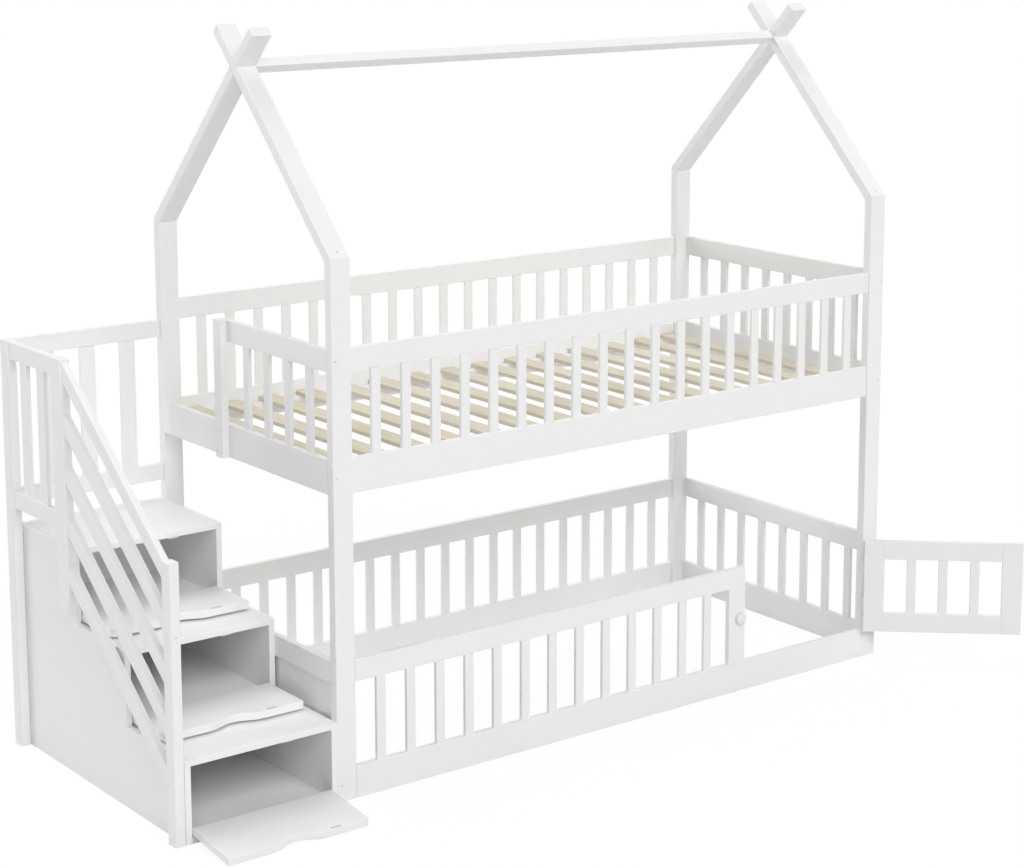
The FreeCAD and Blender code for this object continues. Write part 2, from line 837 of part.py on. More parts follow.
nodes.append(side_panel("stair_left_panel", f"-{stair_outer}", f"-{stair_inner}", True))
nodes.append(side_panel("stair_right_panel", "-panel_thickness", "-panel_thickness", False))
board_names = ("stair_floor_board", "lower_tread", "middle_tread", "landing_board")
for number, (label, front) in enumerate(zip(board_names, board_starts)):
    rear = "bed_width" if label == "landing_board" else "bed_width - panel_thickness"
    nodes.append(
        bar(
            label,
            "x",
            (f"-{stair_inner}", front, f"{number} * step_rise" if number else "0"),
            (f"{rear} - {front}", "board_thickness"),
            "stair_opening",
        )
    )
nodes.append(
    bar(
        "stair_back_panel",
        "x",
        (f"-{stair_inner}", "bed_width - panel_thickness", "0"),
        ("panel_thickness", "3 * step_rise"),
        "stair_opening",
    )
)

# Flaps: each fills one box front, turns on two pins near its foot and has a finger notch in the free edge

flap_width = "(stair_opening - 2 * flap_side_gap)"
flap_reach = "(step_rise - board_thickness - flap_pivot_lift - flap_top_gap)"
flap_heel = "(flap_pivot_lift - flap_floor_gap)"
flap_top = f"({flap_heel} + {flap_reach})"


def flap(label, step_front, floor_top, angle):
    body = new_body(label, stand_flap(step_front, floor_top, angle))
    outline = [
        ("0", "0"),
        (flap_width, "0"),
        (flap_width, flap_top),
        (f"{flap_width} / 2 + notch_width / 2", flap_top),
        (f"{flap_width} / 2 + notch_floor / 2", f"{flap_top} - notch_depth"),
        (f"{flap_width} / 2 - notch_floor / 2", f"{flap_top} - notch_depth"),
        (f"{flap_width} / 2 - notch_width / 2", flap_top),
        ("0", flap_top),
    ]
    sketch = new_sketch(body, "XZ_Plane", ("0", "-flap_pivot_inset", f"-{flap_heel}"))
    draw_outline(sketch, outline)
    add_pad(body, sketch, "flap_thickness", backwards=True)
    middle = size(f"{flap_width} / 2")
    across_edge = runs_along(depth_way)
    lengthwise = runs_along(length_way)
    add_round(
        body,
        "notch_round",
        lambda edge: across_edge(edge) and abs(edge.CenterOfMass.x - middle) < size("notch_width"),
    )
    add_round(body, "flap_corner_round", lambda edge: across_edge(edge) and edge.CenterOfMass.z > 0)
    add_round(
        body,
        "flap_thickness * flap_heel_share",
        lambda edge: lengthwise(edge) and edge.CenterOfMass.z < 0,
    )
    upper_half = size(f"{flap_reach} / 2 + notch_depth")
    add_round(body, "flap_edge_round", lambda edge: edge.CenterOfMass.z > upper_half)
    for start, forwards in (("0", True), (flap_width, False)):
        bore = new_sketch(body, "YZ_Plane", (start, "0", "0"))
        draw_circle(bore, "0", "0", "flap_pin_radius + pin_clearance")
        add_pocket(body, bore, "flap_pin_reach", forwards=forwards)
    return body


flap_names = ("lower_flap", "middle_flap", "upper_flap")
flap_angles = ("low_flap_angle", "tread_flap_angle", "tread_flap_angle")
for number, (label, front, angle) in enumerate(zip(flap_names, step_fronts, flap_angles)):
    nodes.append(flap(label, front, step_top(number), angle))

# Flap pins: one steel pin at each end of each flap, half in the panel and half in the flap

pin_length = "(2 * flap_pin_reach + flap_side_gap - pin_end_gap)"
left_pin_start = f"-{stair_inner} - flap_pin_reach"
right_pin_start = "-panel_thickness - flap_side_gap - flap_pin_reach + pin_end_gap"
flap_pins = []
for across, up in pivot_spots:
    for along in (left_pin_start, right_pin_start):
        flap_pins.append(rod("x", (along, across, up), "flap_pin_radius", pin_length))
nodes.append(group("flap_pivot_pins", flap_pins))

# Magnetic catches: a small block under each tread, just behind the closed flap

catches = []
for number, front in enumerate(step_fronts, start=1):
    catch_corner = (
        "-panel_thickness - stair_opening / 2 + catch_side - catch_length / 2",
        f"{front} + flap_thickness + catch_gap",
        f"{number} * step_rise - catch_height",
    )
    catches.append(block(catch_corner, ("catch_length", "catch_depth", "catch_height")))
nodes.append(group("magnetic_catches", catches))

# Stair posts and sloping rails on the open side

post_line = f"(-{stair_outer} - stair_post_face)"
rail_line = f"({post_line} + (stair_post_face - handrail_thickness) / 2)"
handrail_rise = "((mid_post_near - newel_depth) * tan(handrail_angle))"
newel_top = "handrail_low + handrail_pitch * (handrail_count - 1) + handrail_drop"
for label, near, base, depth, top in (
    ("stair_newel", "0", "0", "newel_depth", newel_top),
    ("stair_mid_post", "mid_post_near", "mid_post_foot", "mid_post_depth", "stair_post_top - mid_post_foot"),
    ("stair_tall_post", "bed_width - newel_depth", "0", "newel_depth", "stair_post_top"),
):
    section = ("stair_post_face", depth)
    nodes.append(bar(label, "z", (post_line, near, base), section, top, edge="stair_post_round"))
handrails = new_body("stair_handrails")
handrail_sketch = new_sketch(handrails, "YZ_Plane", (rail_line, "newel_depth", "handrail_low"))
draw_outline(
    handrail_sketch,
    [
        ("0", "0"),
        ("mid_post_near - newel_depth", handrail_rise),
        ("mid_post_near - newel_depth", f"{handrail_rise} + handrail_drop"),
        ("0", "handrail_drop"),
    ],
)
handrail_pad = add_pad(handrails, handrail_sketch, "handrail_thickness")
add_row(handrails, handrail_pad, "Z", "handrail_pitch * (handrail_count - 1)", "handrail_count")
handrail_way = FreeCAD.Rotation(length_way, size("handrail_angle")).multVec(depth_way)
add_round(handrails, "edge_round", runs_along(handrail_way))
nodes.append(handrails)

# Guards round the landing: two rails with flat slats on the open side and at the back

mid_end = "(mid_post_near + mid_post_depth)"
side_guard_room = f"(bed_width - newel_depth - {mid_end})"
rail_pair = ("Z", "stair_post_top - stair_rail_height - stair_rail_low", "2")
side_guard_rails = bar(
    "side_guard_rails",
    "y",
    (rail_line, mid_end, "stair_rail_low"),
    ("handrail_thickness", "stair_rail_height"),
    side_guard_room,
    row=rail_pair,
)
back_guard_rails = bar(
    "back_guard_rails",
    "x",
    (f"-{stair_outer}", "bed_width - rail_thickness", "stair_rail_low"),
    ("rail_thickness", "stair_rail_height"),
    stair_outer,
    row=rail_pair,
)
nodes.append(group("stair_guard_rails", [side_guard_rails, back_guard_rails]))
slat_foot = "(stair_rail_low + stair_rail_height)"
slat_tall = f"(stair_post_top - stair_rail_height - {slat_foot})"
side_pitch = between(side_guard_room, "side_slat_count", "side_slat_width")
back_pitch = between(stair_outer, "back_slat_count", "back_slat_width")
side_guard_slats = bar(
    "side_guard_slats",
    "z",
    (
        f"{rail_line} + (handrail_thickness - spindle_thickness) / 2",
        f"{mid_end} + {side_pitch} - side_slat_width",
        slat_foot,
    ),
    ("spindle_thickness", "side_slat_width"),
    slat_tall,
    row=("Y", f"{side_pitch} * (side_slat_count - 1)", "side_slat_count"),
)
back_guard_slats = bar(
    "back_guard_slats",
    "z",
    (
        f"-{stair_outer} + {back_pitch} - back_slat_width",
        f"{back_rail} + {spindle_inset}",
        slat_foot,
    ),
    ("back_slat_width", "spindle_thickness"),
    slat_tall,
    row=("X", f"{back_pitch} * (back_slat_count - 1)", "back_slat_count"),
)
nodes.append(group("stair_guard_slats", [side_guard_slats, back_guard_slats]))

# Bolts: flat heads on the posts where rails and rafters are fixed, and the turn button's screw

heads = []


def bolt_head(axis, spot):
    """Flat head along one axis from its low end."""
    heads.append(rod(axis, spot, "head_radius", "head_height"))


def rafter_bolt(along, at_back):
    """Flat head square to a rafter's upper face, a little way up from the bend."""
    run = "(rafter_bolt_rise * cos(roof_angle))"
    across = f"bed_width - {run}" if at_back else run
    spot = (along, across, "bend_height + rafter_bolt_rise * sin(roof_angle)")
    head = rod("z", spot, "head_radius", "head_height")
    way = FreeCAD.Vector(-1 if at_back else 1, 0, 0)
    head.Placement = FreeCAD.Placement(FreeCAD.Vector(0, 0, 0), way, size("roof_angle"))
    bind(head, "Placement.Rotation.Angle", "roof_angle")
    heads.append(head)


for along in ("post_face / 2", "bed_length - post_face / 2"):
    for at_back in (False, True):
        rafter_bolt(along, at_back)
end_rail_heights = (
    "guard_rail_base + guard_rail_height / 2",
    "upper_rail_base + upper_rail_height / 2",
    "lower_rail_height / 2",
)
rail_row_heights = ("upper_rail_base + bolt_row_inset", f"{upper_top} - bolt_row_inset")
for along in ("bolt_inset", "bed_length - bolt_inset"):
    for across in ("-head_height", "bed_width"):
        for up in end_rail_heights:
            bolt_head("y", (along, across, up))
for up in rail_row_heights:
    bolt_head("x", ("-head_height", "post_depth / 2", up))
    bolt_head("x", ("-entry_post_thickness - head_height", f"{entry_end} - bolt_inset", up))
stair_face = f"{post_line} - head_height"
newel_end = f"({newel_top})"
for across, up in (
    ("newel_bolt_inset", "board_thickness"),
    ("newel_bolt_inset", "newel_bolt_height"),
    ("newel_bolt_inset", f"{newel_end} - newel_bolt_drop"),
    (f"{mid_end} - mid_bolt_inset", f"{step_top(3)} - mid_bolt_drop"),
):
    bolt_head("x", (stair_face, across, up))
bolt_head("y", (f"{post_line} + stair_post_face / 2", "-head_height", f"{newel_end} - newel_front_drop"))
screw_front = "(latch_gap + latch_thickness + screw_gap)"
screw_spot = f"{stile_end} - latch_inset"
screw = doc.addObject("Part::Fuse", "latch_screw")
shank_start = (screw_spot, f"-{screw_front}", "latch_height")
head_start = (screw_spot, f"-{screw_front} - screw_head_height", "latch_height")
screw.Base = rod("y", shank_start, "screw_radius", f"{screw_front} + screw_seat")
screw.Tool = rod("y", head_start, "screw_head_radius", "screw_head_height")
heads.append(screw)
nodes.append(group("bolts_and_screw", heads))

# Check every object, then write one file for each piece

doc.recompute()
for thing in doc.Objects:
    if "Invalid" in thing.State or "Error" in thing.State:
        raise RuntimeError(f"{thing.Label} failed: {thing.State}")
for node in nodes:
    if node.Shape.isNull() or not node.Shape.isValid():
        raise RuntimeError(f"{node.Label} has no valid shape")
for node in nodes:
    node.Shape.exportStep(f"parts/{node.Label}.step")
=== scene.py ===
import math

import bpy
import numpy as np
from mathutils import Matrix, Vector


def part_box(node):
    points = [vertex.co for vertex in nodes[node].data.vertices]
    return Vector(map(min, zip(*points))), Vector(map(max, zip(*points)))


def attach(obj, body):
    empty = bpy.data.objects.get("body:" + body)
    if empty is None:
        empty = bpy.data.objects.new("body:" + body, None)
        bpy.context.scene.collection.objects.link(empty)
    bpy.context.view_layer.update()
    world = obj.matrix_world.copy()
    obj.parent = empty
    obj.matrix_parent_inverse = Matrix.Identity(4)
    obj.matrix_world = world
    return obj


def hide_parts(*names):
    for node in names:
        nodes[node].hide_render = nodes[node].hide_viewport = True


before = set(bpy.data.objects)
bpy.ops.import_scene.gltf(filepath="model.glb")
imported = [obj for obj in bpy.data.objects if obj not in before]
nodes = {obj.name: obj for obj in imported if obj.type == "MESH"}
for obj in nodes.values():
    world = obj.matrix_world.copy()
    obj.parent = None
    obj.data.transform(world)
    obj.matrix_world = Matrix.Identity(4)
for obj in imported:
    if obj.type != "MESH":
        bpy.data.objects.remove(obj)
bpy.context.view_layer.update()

# The house frames
# Four straight posts carry four rafters that cross under the ridge. They are planed pine battens with eased
# edges, sprayed with white satin lacquer, mitred together at the bend and halved where they cross.


class Wire:
    """One socket in a material's node tree. Sums, differences and products of wires add Math nodes there."""

    def __init__(self, tree, socket=None):
        self.tree = tree
        self.socket = socket

    def make(self, kind, output, inputs, **settings):
        """Adds one node: first its settings, then the values or wires of its sockets. Gives one output."""
        node = self.tree.nodes.new(kind)
        for name, value in settings.items():
            setattr(node, name, value)
        for name, value in inputs.items():
            if isinstance(value, Wire):
                self.tree.links.new(value.socket, node.inputs[name])
            else:
                node.inputs[name].default_value = value
        return Wire(self.tree, node.outputs[output])

    def math_node(self, operation, first, second):
        """Adds one Math node that works on two values or wires."""
        return self.make("ShaderNodeMath", 0, {0: first, 1: second}, operation=operation)

    def __add__(self, other):
        return self.math_node("ADD", self, other)

    def __radd__(self, other):
        return self.math_node("ADD", other, self)

    def __sub__(self, other):
        return self.math_node("SUBTRACT", self, other)

    def __rsub__(self, other):
        return self.math_node("SUBTRACT", other, self)

    def __mul__(self, other):
        return self.math_node("MULTIPLY", self, other)

    def __rmul__(self, other):
        return self.math_node("MULTIPLY", other, self)


def new_finish(name):
    """A fresh material, its shader node, and a wire that carries the piece's own coordinates in metres."""
    material = bpy.data.materials.new(name)
    material.use_nodes = True
    tree = material.node_tree
    shader = tree.nodes["Principled BSDF"]
    here = Wire(tree).make("ShaderNodeTexCoord", "Object", {})
    return material, shader, here


def feed(shader, **wires):
    """Links each wire to the shader socket whose name it is given by, with spaces for underscores."""
    for name, wire in wires.items():
        wire.tree.links.new(wire.socket, shader.inputs[name.replace("_", " ")])


def along_grain(here, grain, squeeze):
    """Coordinates drawn out along the grain: the part of the place that lies along it shrinks to squeeze
    times, so a pattern read there is longer that way by one over squeeze."""
    run = here.make("ShaderNodeVectorMath", "Value", {0: here, 1: grain}, operation="DOT_PRODUCT")
    shift = here.make("ShaderNodeVectorMath", 0, {0: grain, "Scale": run * (squeeze - 1)}, operation="SCALE")
    return here.make("ShaderNodeVectorMath", 0, {0: here, 1: shift}, operation="ADD")


def blend_colours(share, first, second):
    """The first colour where share is nought, the second where it is one, and a blend of them between."""
    return share.make("ShaderNodeMix", 2, {0: share, 6: first, 7: second}, data_type="RGBA")


def noise(place, scale, detail):
    """Cloudy noise from nought to one whose largest spots are about one over scale metres wide."""
    return place.make("ShaderNodeTexNoise", 0, {"Vector": place, "Scale": scale, "Detail": detail})


def bump(height, strength, depth):
    """The surface's tilt where a height of one stands depth metres proud, weakened to the given strength."""
    return height.make("ShaderNodeBump", 0, {"Height": height, "Strength": strength, "Distance": depth})


def white_lacquer(name, grain):
    """White satin lacquer on planed timber: two near whites in broad clouds, a wood grain that shows through
    the film as faint lines along the board, and the fine dimples of a sprayed coat."""
    bright_white = (0.895, 0.895, 0.895, 1)
    deep_white = (0.872, 0.872, 0.872, 1)
    line_tone = 0.2
    line_relief = 0.7
    satin = 0.36
    line_dulling = 0.12
    dimple_dulling = 0.05
    lacquer_index = 1.48
    material, shader, here = new_finish(name)
    lines = noise(along_grain(here, grain, squeeze=0.03), scale=170, detail=4)
    clouds = noise(here, scale=3.1, detail=2)
    dimples = noise(here, scale=520, detail=1)
    tone = (1 - line_tone) * clouds + line_tone * lines
    height = line_relief * lines + (1 - line_relief) * dimples
    feed(shader, Base_Color=blend_colours(tone, deep_white, bright_white))
    feed(shader, Roughness=satin + line_dulling * lines + dimple_dulling * dimples)
    feed(shader, Normal=bump(height, strength=0.05, depth=0.0004))
    shader.inputs["IOR"].default_value = lacquer_index
    return material


def dress(material, *names):
    """Puts one material on the only material slot of each named CAD node."""
    for name in names:
        nodes[name].data.materials.clear()
        nodes[name].data.materials.append(material)


roof_slope = math.radians(45.8)
rising_back = (0, math.cos(roof_slope), math.sin(roof_slope))
rising_front = (0, -math.cos(roof_slope), math.sin(roof_slope))
upright_lacquer = white_lacquer("upright_lacquer", (0, 0, 1))
lengthwise_lacquer = white_lacquer("lengthwise_lacquer", (1, 0, 0))
crosswise_lacquer = white_lacquer("crosswise_lacquer", (0, 1, 0))
dress(upright_lacquer, "front_left_post", "back_left_post", "front_right_post", "back_right_post")
dress(white_lacquer("front_rafter_lacquer", rising_back), "front_left_rafter", "front_right_rafter")
dress(white_lacquer("back_rafter_lacquer", rising_front), "back_left_rafter", "back_right_rafter")
dress(lengthwise_lacquer, "ridge_bar")

# The upper bunk
# Rails between the posts, with ledgers inside that carry the slats and a guard of top rails on spindles.
# All but the slats are planed timber in the same white lacquer, fixed with bolts through the posts.

dress(lengthwise_lacquer, "upper_front_rail", "upper_back_rail", "slat_ledgers")
dress(lengthwise_lacquer, "guard_front_rail", "guard_back_rail")
dress(crosswise_lacquer, "upper_end_rails", "guard_left_rail", "guard_right_rail")
dress(upright_lacquer, "guard_front_spindles", "guard_back_spindles", "guard_left_spindles")
dress(upright_lacquer, "guard_right_spindles", "entry_guard_post")

# The bed slats
# Fifteen bare pine boards laid across the ledgers, planed, with the grain running from front to back. Each
# board has its own tone, and all have late wood lines and fine pores.


def bare_pine(name, grain, first_slat, slat_pitch):
    """Bare pine: a tone picked at random for each slat by its place in the row, growth lines drawn out along
    the board that darken to late wood where their noise runs high, and fine pores."""
    pale_pine = (0.735, 0.69, 0.58, 1)
    warm_pine = (0.705, 0.645, 0.505, 1)
    late_wood = (0.58, 0.48, 0.33, 1)
    pore_tone = 0.25
    late_wood_share = 0.45
    late_wood_from = 0.5
    late_wood_to = 0.66
    planed = 0.62
    pore_dulling = 0.1
    pore_relief = 0.4
    material, shader, here = new_finish(name)
    along_bed = here.make("ShaderNodeSeparateXYZ", 0, {"Vector": here})
    place_in_row = (along_bed - first_slat) * (1 / slat_pitch)
    number = place_in_row.make("ShaderNodeMath", 0, {0: place_in_row}, operation="FLOOR")
    own_tone = number.make("ShaderNodeTexWhiteNoise", 0, {"W": number}, noise_dimensions="1D")
    lines = noise(along_grain(here, grain, squeeze=0.06), scale=90, detail=5)
    pores = noise(along_grain(here, grain, squeeze=0.02), scale=900, detail=2)
    dark_lines = lines.make("ShaderNodeMapRange", 0, {0: lines, 1: late_wood_from, 2: late_wood_to})
    early_wood = blend_colours((1 - pore_tone) * own_tone + pore_tone * pores, pale_pine, warm_pine)
    feed(shader, Base_Color=blend_colours(late_wood_share * dark_lines, early_wood, late_wood))
    feed(shader, Roughness=planed + pore_dulling * pores)
    feed(shader, Normal=bump(lines + pore_relief * pores, strength=0.3, depth=0.0005))
    return material


slat_low, slat_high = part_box("bed_slats")
slat_count = 15
slat_width = 0.065
slat_pitch = (slat_high.x - slat_low.x - slat_width) / (slat_count - 1)
first_slat = slat_low.x - 0.5 * (slat_pitch - slat_width)
dress(bare_pine("bare_pine", (0, 1, 0), first_slat, slat_pitch), "bed_slats")

# The lower bunk
# Low rails on the floor between the posts, a fence of rails and spindles round three sides, a plain board
# beside the stairs and a stile that ends the front fence. Timber and board in the same white lacquer.

dress(lengthwise_lacquer, "lower_front_rail", "lower_back_rail", "fence_front_rail", "fence_back_rail")
dress(crosswise_lacquer, "lower_end_rails", "fence_end_rails", "left_infill_panel")
dress(upright_lacquer, "fence_front_spindles", "fence_back_spindles", "fence_right_spindles")
dress(upright_lacquer, "fence_end_stile")

# The gate
# A small frame of two stiles and two rails round three spindles, hung on the right front post. It is doweled
# together from the same lacquered timber, and stands open in the photograph.

gate_angle = math.radians(138)
gate_grain = (-math.cos(gate_angle), -math.sin(gate_angle), 0)
dress(upright_lacquer, "gate_stiles", "gate_spindles")
dress(white_lacquer("gate_rail_lacquer", gate_grain), "gate_rails")

# The gate hinges
# Two small butt hinges of pressed steel in white enamel, one leaf screwed to the post and one to the gate,
# with the pin in the knuckles of the post's leaf.


def white_enamel(name):
    """White stoved enamel on steel: near white with faint clouds and the slight ripple of a thick coat."""
    clean_enamel = (0.88, 0.88, 0.88, 1)
    dull_enamel = (0.82, 0.82, 0.82, 1)
    shine = 0.28
    cloud_dulling = 0.14
    material, shader, here = new_finish(name)
    clouds = noise(here, scale=90, detail=3)
    ripple = noise(here, scale=700, detail=1)
    feed(shader, Base_Color=blend_colours(clouds, clean_enamel, dull_enamel))
    feed(shader, Roughness=shine + cloud_dulling * clouds)
    feed(shader, Normal=bump(ripple, strength=0.2, depth=0.0002))
    return material


dress(white_enamel("hinge_enamel"), "post_hinge_leaves", "gate_hinge_leaves")

# The turn button
# A white plastic button on one off-centre screw in the fence's end stile, which turns across the edge of the
# shut gate to keep it so.


def moulded_plastic(name):
    """White moulded plastic: a warm white, duller where it is worn, with a fine even texture from the mould
    and a soft shine."""
    clean_white = (0.87, 0.87, 0.86, 1)
    worn_white = (0.82, 0.82, 0.80, 1)
    shine = 0.34
    wear_dulling = 0.16
    material, shader, here = new_finish(name)
    texture = noise(here, scale=1500, detail=2)
    wear = noise(here, scale=60, detail=3)
    feed(shader, Base_Color=blend_colours(wear, clean_white, worn_white))
    feed(shader, Roughness=shine + wear_dulling * wear)
    feed(shader, Normal=bump(texture, strength=0.2, depth=0.0002))
    return material


white_plastic = moulded_plastic("white_plastic")
dress(white_plastic, "latch_button")

# The box stairs
# Two side boards, a floor board, two treads, a landing and a back make three open boxes under the steps. They
# are boards with a smooth lacquered face, butted together with hidden dowels and screws.

dress(upright_lacquer, "stair_left_panel", "stair_right_panel", "stair_back_panel")
dress(lengthwise_lacquer, "stair_floor_board", "lower_tread", "middle_tread", "landing_board")

# The flaps
# Three boards that shut the boxes, each turning on two pins near its foot, with a scooped finger grip in the
# free edge. The pins are zinc plated steel, and small white plastic blocks under the treads hold the magnets.


def plated_steel(name, grain):
    """Zinc plated steel: cool grey with a rolled grain drawn out along the strip, and duller patches where
    the plating has been handled."""
    bright_zinc = (0.72, 0.72, 0.73, 1)
    dull_zinc = (0.50, 0.51, 0.52, 1)
    grain_tone = 0.5
    shine = 0.28
    patch_dulling = 0.2
    material, shader, here = new_finish(name)
    rolled = noise(along_grain(here, grain, squeeze=0.04), scale=1800, detail=2)
    patches = noise(here, scale=120, detail=3)
    tone = grain_tone * rolled + (1 - grain_tone) * patches
    feed(shader, Base_Color=blend_colours(tone, dull_zinc, bright_zinc))
    feed(shader, Roughness=shine + patch_dulling * patches)
    feed(shader, Normal=bump(rolled, strength=0.15, depth=0.0001))
    shader.inputs["Metallic"].default_value = 1
    return material


dress(lengthwise_lacquer, "lower_flap", "middle_flap", "upper_flap")
sheet_steel = plated_steel("sheet_steel", (1, 0, 0))
dress(sheet_steel, "flap_pivot_pins")
dress(white_plastic, "magnetic_catches")

# The strike plates
# A thin plated steel plate on the inside of each flap near its free edge, where the magnet takes hold. It is
# pressed from strip with eased edges, and shows as a grey dash on the open flap.


def node_points(name):
    """The corners of a CAD node's mesh, as rows of three."""
    points = np.empty(3 * len(nodes[name].data.vertices), dtype=np.float32)
    nodes[name].data.vertices.foreach_get("co", points)
    return points.reshape(-1, 3).astype(float)


def ringed_surface(name, points, material, body):
    """A piece whose skin runs from ring to ring: points is an array of pieces by rings by points of a ring by
    three, and each ring is joined to the next and closed on itself."""
    count, rows, columns = points.shape[:3]
    piece, row, column = np.meshgrid(np.arange(count), np.arange(rows - 1), np.arange(columns), indexing="ij")
    following = (column + 1) % columns
    near = (piece * rows + row) * columns
    far = near + columns
    faces = np.stack([near + column, near + following, far + following, far + column], axis=-1)
    mesh = bpy.data.meshes.new(name)
    mesh.from_pydata(points.reshape(-1, 3).tolist(), [], faces.reshape(-1, 4).tolist())
    mesh.materials.append(material)
    made = bpy.data.objects.new(name, mesh)
    bpy.context.scene.collection.objects.link(made)
    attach(made, body)
    return made


points_round = 48
turn = np.linspace(0, 2 * math.pi, points_round, endpoint=False)


def strike_plate(flap, open_angle):
    """A flat pill with an eased rim on the upper face of an open flap. Ring after ring is a superellipse
    whose size and height run from the foot of the rim, over a quarter round, to the middle of the top."""
    half_length = 0.0165
    half_width = 0.0035
    thickness = 0.0008
    ease = 0.0005
    from_middle = 0.115
    from_edge = 0.0055
    corner_power = 0.35
    rings_over_rim = 7
    corners = node_points(flap)
    tilt = math.radians(open_angle - 90)
    outward = np.array([0, -math.cos(tilt), -math.sin(tilt)])
    upward = np.array([0, -math.sin(tilt), math.cos(tilt)])
    sideways = np.array([1, 0, 0])
    middle = 0.5 * (corners[:, 0].min() + corners[:, 0].max()) + from_middle
    seat = (
        sideways * middle
        + outward * ((corners @ outward).max() - from_edge)
        + upward * (corners @ upward).max()
    )
    bend = np.linspace(0, math.pi / 2, rings_over_rim)
    inset = np.concatenate([[0], ease * (1 - np.cos(bend)), [half_width]])
    height = np.concatenate([[0], thickness - ease + ease * np.sin(bend), [thickness]])
    along = np.sign(np.cos(turn)) * np.abs(np.cos(turn)) ** corner_power
    across = np.sign(np.sin(turn)) * np.abs(np.sin(turn)) ** corner_power
    points = (
        seat
        + (half_length - inset)[:, None, None] * along[None, :, None] * sideways
        + (half_width - inset)[:, None, None] * across[None, :, None] * outward
        + height[:, None, None] * np.ones_like(turn)[None, :, None] * upward
    )
    ringed_surface(flap + "_strike_plate", points[None], sheet_steel, flap)


for flap, open_angle in (("lower_flap", 96.9), ("middle_flap", 90), ("upper_flap", 90)):
    strike_plate(flap, open_angle)

# The stair railing
# Three posts at the open side of the stairs with five sloping rails between them, and round the landing a
# guard of rails and upright slats. Lacquered timber, bolted through the side board.

rail_slope = math.radians(38.3)
rail_grain = (0, math.cos(rail_slope), math.sin(rail_slope))
dress(upright_lacquer, "stair_newel", "stair_mid_post", "stair_tall_post", "stair_guard_slats")
dress(white_lacquer("handrail_lacquer", rail_grain), "stair_handrails")
dress(crosswise_lacquer, "stair_guard_rails")

# The bolts
# Low round heads with a hexagon socket, in white enamel, of the bolts that pull the rails, rafters and stair
# posts together, and the screw of the turn button with the same head.

socket_rings = 3


def separate_pieces(name):
    """The places of a CAD node's corners, and a number for each that is the same all over one solid. Corners
    at one place, to a micrometre, are joined first, then each takes the lowest number met along the edges
    until nothing changes."""
    micrometre_digits = 6
    mesh = nodes[name].data
    rounded = node_points(name).round(micrometre_digits)
    places, corner_place = np.unique(rounded, axis=0, return_inverse=True)
    ends = np.empty(2 * len(mesh.edges), dtype=np.int32)
    mesh.edges.foreach_get("vertices", ends)
    first, second = corner_place.reshape(-1)[ends].reshape(-1, 2).T
    label = np.arange(len(places))
    while (label[first] != label[second]).any():
        lowest = np.minimum(label[first], label[second])
        np.minimum.at(label, first, lowest)
        np.minimum.at(label, second, lowest)
    return places, label


def socket_head(seat, outward, radius, height):
    """A round head with a hexagon socket: rings that run up a rounded rim, over a low dome, down the socket's
    six walls and across its floor. Outside the socket a ring is a circle, and inside it a hexagon of which
    each point lies at the flat's distance over the cosine of its angle from the middle of the flat."""
    radii = np.array([1.0, 1.0, 0.96, 0.88, 0.60, 0.52, 0.48, 0.02])
    heights = np.array([0.0, 0.5, 0.8, 0.95, 1.0, 0.97, 0.25, 0.25])
    in_socket = np.arange(len(radii)) >= len(radii) - socket_rings
    sixth = math.pi / 3
    hexagon = math.cos(sixth / 2) / np.cos((turn + sixth / 2) % sixth - sixth / 2)
    swell = np.where(in_socket[:, None], hexagon[None, :], 1.0)
    faces_along = abs(outward[0]) >= 0.5
    helper = np.array([0, 1.0, 0]) if faces_along else np.array([1.0, 0, 0])
    sideways = np.cross(outward, helper)
    sideways /= np.linalg.norm(sideways)
    upward = np.cross(sideways, outward)
    reach = radius * radii[:, None] * swell
    return (
        seat
        + (reach * np.cos(turn))[:, :, None] * sideways
        + (reach * np.sin(turn))[:, :, None] * upward
        + height * heights[:, None, None] * np.ones_like(turn)[None, :, None] * outward
    )


def socket_enamel(name):
    """White enamel with painted shade in the socket: greyer there by the mesh's own socket value."""
    # The grey inside the socket is painted shade, standing in for the shade that falls in the recess.
    socket_painted_shade = (0.62, 0.62, 0.62, 1)
    clean_enamel = (0.86, 0.86, 0.86, 1)
    shine = 0.3
    speck_dulling = 0.2
    material, shader, here = new_finish(name)
    inside = here.make("ShaderNodeAttribute", "Fac", {}, attribute_name="socket")
    specks = noise(here, scale=900, detail=2)
    feed(shader, Base_Color=blend_colours(inside, clean_enamel, socket_painted_shade))
    feed(shader, Roughness=shine + speck_dulling * specks)
    return material


# A head faces away from the middle of the bed along its thinnest way. The screw, which alone is longer than
# a head is wide, faces the front.
middle_of_bed = np.array([0.1, 0.18, 0.8])
towards_front = np.array([0, -1.0, 0])
widest_head = 0.01
screw_head_height = 0.0025
places, label = separate_pieces("bolts_and_screw")
heads = []
for number in np.unique(label):
    corners = places[label == number]
    centre = 0.5 * (corners.min(axis=0) + corners.max(axis=0))
    ways = np.linalg.eigh(np.cov((corners - centre).T))[1]
    thinnest_way, widest_way = ways[:, 0], ways[:, 2]
    is_screw = np.ptp(corners[:, 1]) > widest_head
    outward = towards_front if is_screw else thinnest_way
    outward = outward * np.sign(outward @ (centre - middle_of_bed))
    depth = corners @ outward
    radius = 0.5 * np.ptp(corners[:, 2] if is_screw else corners @ widest_way)
    height = screw_head_height if is_screw else np.ptp(depth)
    seat = centre + outward * (depth.max() - height - centre @ outward)
    heads.append(socket_head(seat, outward, radius, height))
heads = np.array(heads)
bolt_heads = ringed_surface("bolt_heads", heads, socket_enamel("socket_enamel"), "frame")
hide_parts("bolts_and_screw")
inside = np.zeros(heads.shape[:3], dtype=np.float32)
inside[:, -socket_rings:] = 1
bolt_heads.data.attributes.new("socket", "FLOAT", "POINT").data.foreach_set("value", inside.reshape(-1))

